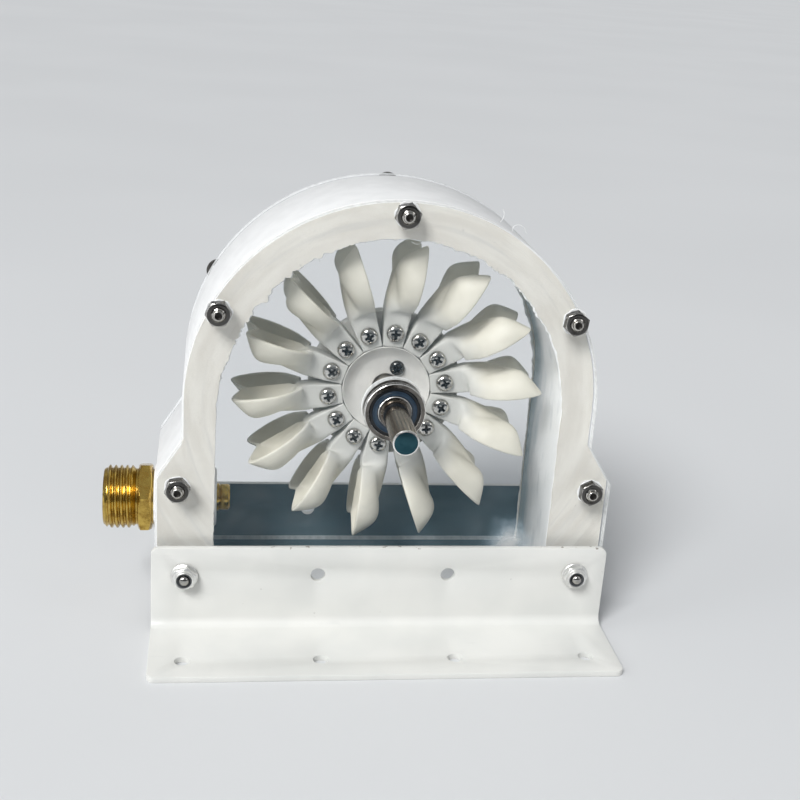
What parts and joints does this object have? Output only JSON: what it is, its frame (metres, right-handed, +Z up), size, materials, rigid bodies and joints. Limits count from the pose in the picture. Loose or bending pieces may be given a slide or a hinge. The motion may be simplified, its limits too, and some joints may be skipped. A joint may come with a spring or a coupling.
{
  "type": "pelton wheel turbine",
  "caption": "Small bench Pelton turbine: arched white casing with clear end plates, printed double-cup runner on a steel shaft, brass water inlet and angle feet.",
  "frame": {"origin": "middle of the flat underside of the front foot", "axes": "+Z up; the front plate and the shaft end face -Y; the water inlet is at -X"},
  "size_m": [0.164, 0.1146, 0.1413],
  "materials": {
    "white_print": "satin printed plastic, white",
    "clear_acrylic": "clear polished sheet",
    "cream_sealant": "squeezed-out cream sealant",
    "white_powder_coat": "satin white powder coat",
    "ivory_print": "printed plastic, ivory, with layer lines",
    "pale_grey_print": "printed plastic, pale grey",
    "bearing_steel": "ground and polished steel",
    "zinc_steel": "bright plated steel",
    "brass": "turned brass"
  },
  "bodies": {
    "casing": {"housing_shell": "white_print", "front_plate": "clear_acrylic", "back_plate": "clear_acrylic", "front_sealant": "cream_sealant", "back_sealant": "cream_sealant", "front_foot": "white_powder_coat", "back_foot": "white_powder_coat", "bolt_top": "zinc_steel", "bolt_left": "zinc_steel", "bolt_right": "zinc_steel", "bolt_lower_left": "zinc_steel", "bolt_lower_right": "zinc_steel", "foot_bolt_left": "zinc_steel", "foot_bolt_right": "zinc_steel", "front_bearing": "bearing_steel", "back_bearing": "bearing_steel", "inlet_fitting": "brass", "nozzle": "brass"},
    "runner": {"shaft": "bearing_steel", "hub_disc": "pale_grey_print", "flange_coupling": "zinc_steel", "bucket_01": "ivory_print", "bucket_02": "ivory_print", "bucket_03": "ivory_print", "bucket_04": "ivory_print", "bucket_05": "ivory_print", "bucket_06": "ivory_print", "bucket_07": "ivory_print", "bucket_08": "ivory_print", "bucket_09": "ivory_print", "bucket_10": "ivory_print", "bucket_11": "ivory_print", "bucket_12": "ivory_print", "bucket_13": "ivory_print", "bucket_14": "ivory_print"}
  },
  "joints": [
    {"name": "runner_spin", "type": "hinge", "parent": "casing", "child": "runner", "pos_m": [0, 0.03865, 0.076], "axis": [0, -1, 0], "continuous": true}
  ]
}
